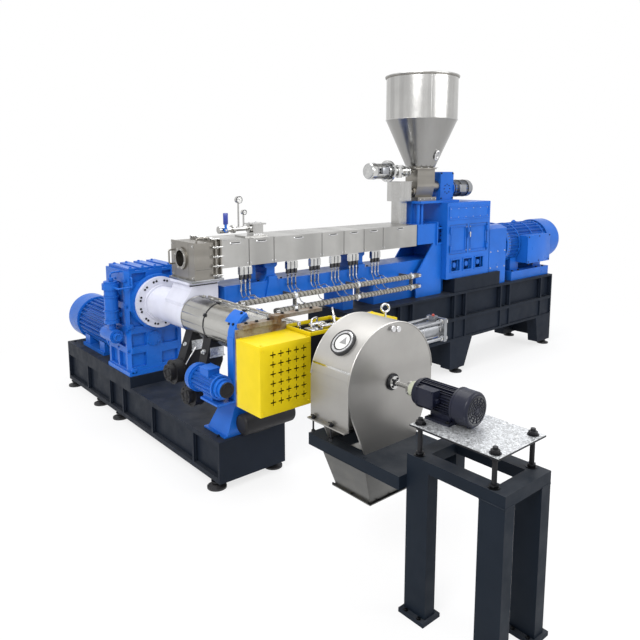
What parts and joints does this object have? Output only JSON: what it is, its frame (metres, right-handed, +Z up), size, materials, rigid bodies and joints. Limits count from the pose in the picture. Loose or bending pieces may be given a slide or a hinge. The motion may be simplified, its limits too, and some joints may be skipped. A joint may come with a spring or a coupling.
{
  "type": "two-stage plastic extruder",
  "caption": "Two-stage plastic compounding extruder: hopper and feeder on a twin-screw line that drops into a single-screw line with screen changer and die-face cutter",
  "frame": {"origin": "floor level, under the middle of the whole plant", "axes": "+X along the upper screw's line towards its motor, +Y along the lower screw's line towards its gearbox, +Z up"},
  "size_m": [6.301, 5.695, 3.446],
  "materials": {
    "black_paint": "satin black paint",
    "slate_paint": "slate blue-grey paint",
    "blue_paint": "bright blue machine enamel",
    "navy_paint": "navy motor paint",
    "white_paint": "white enamel",
    "yellow_paint": "yellow guard paint",
    "stainless": "brushed stainless sheet",
    "grey_cover": "satin stainless covers",
    "bright_steel": "bright machined steel",
    "rusty_steel": "bare steel with rust on its edges",
    "zinc_plate": "hot-dip galvanised, spangled",
    "dark_iron": "blackened iron",
    "foot_rubber": "black rubber pads"
  },
  "bodies": {
    "root": {"lower_base": "black_paint", "lower_feet": "foot_rubber", "lower_plinth": "black_paint", "lower_gearbox": "blue_paint", "lower_motor": "blue_paint", "lower_motor_foot": "blue_paint", "oil_set": "blue_paint", "feed_barrel": "white_paint", "lower_screw_barrel": "dark_iron", "lower_barrel_covers": "stainless", "barrel_stand": "blue_paint", "barrel_yoke": "blue_paint", "accumulator": "dark_iron", "barrel_blowers": "dark_iron", "blower_motor": "blue_paint", "screen_changer": "dark_iron", "left_guard": "yellow_paint", "right_guard": "yellow_paint", "clamp_plates": "rusty_steel", "hydraulic_cylinder": "bright_steel", "cutter_hood": "stainless", "shaft_bearing": "bright_steel", "cutter_motor": "navy_paint", "motor_plate": "zinc_plate", "plate_studs": "dark_iron", "front_frame": "slate_paint", "cutter_legs": "slate_paint", "cutter_table": "slate_paint", "pellet_chute": "stainless", "upper_base": "black_paint", "upper_rails": "black_paint", "upper_legs": "black_paint", "upper_feet": "foot_rubber", "upper_plinth": "black_paint", "barrel_beam": "blue_paint", "barrel_pedestals": "blue_paint", "upper_barrel": "dark_iron", "upper_barrel_covers": "grey_cover", "cooling_valves": "bright_steel", "manifold_pipes": "bright_steel", "discharge_box": "stainless", "end_flange": "stainless", "vent_stack": "stainless", "torque_box": "blue_paint", "gear_core": "blue_paint", "cabinet": "blue_paint", "coupling_guard": "blue_paint", "main_motor": "blue_paint", "motor_seat": "blue_paint", "hopper": "stainless", "feeder_body": "stainless", "feeder_drive": "blue_paint", "agitator_drive": "bright_steel", "feed_chute": "stainless", "feeder_plate": "blue_paint"},
    "cutter_rotor": {"cutter_shaft": "bright_steel"},
    "vent_lever": {"valve_lever": "blue_paint"},
    "door_left": {"left_door": "blue_paint"},
    "door_right": {"right_door": "blue_paint"}
  },
  "joints": [
    {"name": "cutter_shaft_spin", "type": "hinge", "parent": "root", "child": "cutter_rotor", "pos_m": [-2.5675, -1.9445, 1.186], "axis": [0, 1, 0], "continuous": true},
    {"name": "valve_lever_turn", "type": "hinge", "parent": "root", "child": "vent_lever", "pos_m": [-2.2455, 0.3595, 1.884], "axis": [0, -1, 0], "range_deg": [0, 90]},
    {"name": "left_door_swing", "type": "hinge", "parent": "root", "child": "door_left", "pos_m": [0.6215, 0.1435, 1.44], "axis": [0, 0, -1], "range_deg": [0, 110]},
    {"name": "right_door_swing", "type": "hinge", "parent": "root", "child": "door_right", "pos_m": [1.3405, 0.1435, 1.44], "axis": [0, 0, 1], "range_deg": [0, 110]}
  ]
}
